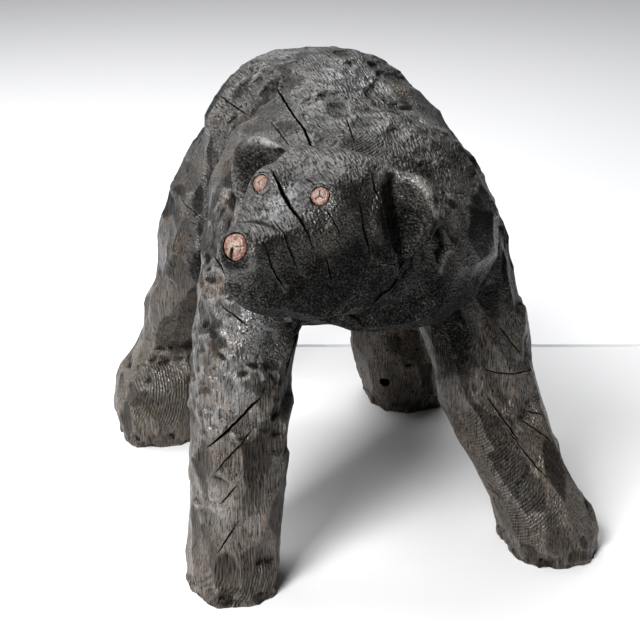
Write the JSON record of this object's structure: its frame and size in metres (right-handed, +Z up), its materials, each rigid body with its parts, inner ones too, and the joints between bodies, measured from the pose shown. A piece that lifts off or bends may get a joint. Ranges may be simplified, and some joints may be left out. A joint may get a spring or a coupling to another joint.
{
  "type": "carved wooden bear",
  "caption": "Life-like bear statue carved from one dark log, standing on all fours with its head turned, with round wooden plugs for eyes and nose.",
  "frame": {"origin": "on the floor, under the middle of the bear's bounding box", "axes": "+Z up, -Y the way the bear's body faces, +X the bear's left"},
  "size_m": [0.6564, 0.8802, 0.7005],
  "materials": {
    "blackened_wood": "blackened, chainsawn and gouged, waxed to a dull sheen",
    "branch_wood": "reddish end grain, hand rubbed"
  },
  "bodies": {
    "root": {"carved_bear": "blackened_wood", "right_eye_plug": "branch_wood", "left_eye_plug": "branch_wood", "nose_plug": "branch_wood"}
  },
  "joints": []
}
